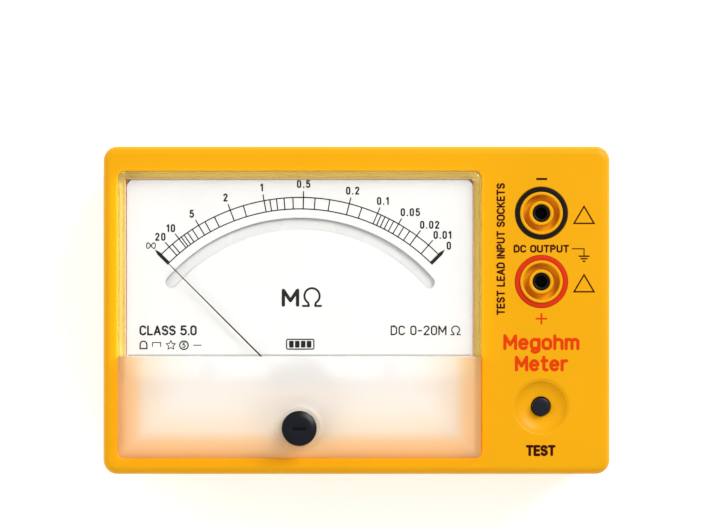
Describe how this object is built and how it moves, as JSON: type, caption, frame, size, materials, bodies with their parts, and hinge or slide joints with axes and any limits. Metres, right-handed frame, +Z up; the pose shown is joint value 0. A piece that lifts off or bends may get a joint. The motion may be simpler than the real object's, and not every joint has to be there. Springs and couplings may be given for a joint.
{
  "type": "insulation resistance tester",
  "caption": "Hand-held analogue insulation tester: moving-coil meter under a clear cover, two shrouded test jacks, a test button, a battery bay and a power inlet.",
  "frame": {"origin": "centre of the case's plan, on the plane the four feet stand on, with the tester lying on its back", "axes": "+Z up out of the dial, +Y towards the top edge of the face, +X to the right of the face, where the jacks are"},
  "size_m": [0.15, 0.097, 0.0459],
  "materials": {
    "case_shell": "moulded yellow-orange ABS, satin",
    "clear_cover": "clear polycarbonate with a frosted apron",
    "dial_white": "matt white enamel with printed scale",
    "mirror_band": "parallax mirror",
    "black_plastic": "moulded black plastic",
    "red_plastic": "moulded red plastic",
    "foot_rubber": "matt black rubber",
    "meter_moulding": "natural white plastic",
    "pointer_black": "matt black paint on drawn aluminium",
    "screw_steel": "zinc plated steel",
    "core_magnet": "cast magnet alloy",
    "movement_brass": "machined brass",
    "coil_copper": "enamelled winding on an aluminium former",
    "transformer_copper": "taped winding on a ferrite core",
    "contact_nickel": "nickel plated spring metal",
    "board_green": "glass epoxy laminate",
    "capacitor_sleeve": "shrink sleeve",
    "cell_jacket": "printed foil jacket, plain",
    "lead_red": "PVC insulation",
    "lead_black": "PVC insulation"
  },
  "bodies": {
    "case": {"front_case": "case_shell", "rear_case": "case_shell", "meter_cover": "clear_cover", "dial_plate": "dial_white", "mirror_strip": "mirror_band", "jack_ring_negative": "black_plastic", "test_switch": "black_plastic", "dc_inlet": "black_plastic", "timer_chip": "black_plastic", "jack_ring_positive": "red_plastic", "foot_1": "foot_rubber", "foot_2": "foot_rubber", "foot_3": "foot_rubber", "foot_4": "foot_rubber", "meter_base": "meter_moulding", "case_screw_1": "screw_steel", "case_screw_2": "screw_steel", "case_screw_3": "screw_steel", "case_screw_4": "screw_steel", "dial_screw_left": "screw_steel", "dial_screw_right": "screw_steel", "base_screw_1": "screw_steel", "base_screw_2": "screw_steel", "board_screw_1": "screw_steel", "board_screw_2": "screw_steel", "yoke_ring": "screw_steel", "button_spring": "screw_steel", "magnet_core": "core_magnet", "core_spacer_front": "movement_brass", "core_spacer_back": "movement_brass", "upper_bridge": "movement_brass", "lower_bridge": "movement_brass", "upper_jewel_screw": "movement_brass", "lower_jewel_screw": "movement_brass", "transformer": "transformer_copper", "jack_contact_negative": "contact_nickel", "jack_contact_positive": "contact_nickel", "contact_strip_low": "contact_nickel", "contact_strip_high": "contact_nickel", "circuit_board": "board_green", "capacitor_1": "capacitor_sleeve", "capacitor_2": "capacitor_sleeve", "cell_1": "cell_jacket", "cell_2": "cell_jacket", "cell_3": "cell_jacket", "cell_4": "cell_jacket", "cell_5": "cell_jacket", "cell_6": "cell_jacket", "meter_lead_red": "lead_red", "battery_lead_red": "lead_red", "meter_lead_black": "lead_black", "battery_lead_black": "lead_black"},
    "test_button": {"test_button": "black_plastic"},
    "battery_door": {"battery_door": "case_shell"},
    "zero_screw": {"zero_screw": "black_plastic"},
    "zero_arm": {"zero_arm": "movement_brass"},
    "pointer": {"moving_coil": "coil_copper", "pointer": "pointer_black", "balance_weight": "movement_brass", "hairspring": "movement_brass"}
  },
  "joints": [
    {"name": "test_button_press", "type": "slide", "parent": "case", "child": "test_button", "axis": [0, 0, -1], "range_m": [0, 0.002], "stiffness_N_per_m": 400, "springref_m": -0.003, "deforming": ["button_spring"]},
    {"name": "battery_door_slide", "type": "slide", "parent": "case", "child": "battery_door", "axis": [0, 1, 0], "range_m": [0, 0.06]},
    {"name": "zero_screw_turn", "type": "hinge", "parent": "case", "child": "zero_screw", "pos_m": [-0.0168, -0.0345, 0.0446], "axis": [0, 0, 1], "range_deg": [-45, 45]},
    {"name": "zero_arm_swing", "type": "hinge", "parent": "case", "child": "zero_arm", "pos_m": [-0.0168, -0.02505, 0.035], "axis": [0, 0, 1], "range_deg": [-4.7, 4.7]},
    {"name": "pointer_deflection", "type": "hinge", "parent": "zero_arm", "child": "pointer", "pos_m": [-0.0168, -0.02505, 0.0316], "axis": [0, 0, 1], "range_deg": [-91, 1], "stiffness_Nm_per_rad": 0.00002, "deforming": ["hairspring"]}
  ],
  "couplings": [
    {"joint": "zero_arm_swing", "follows": "zero_screw_turn", "ratio": -0.1027}
  ]
}
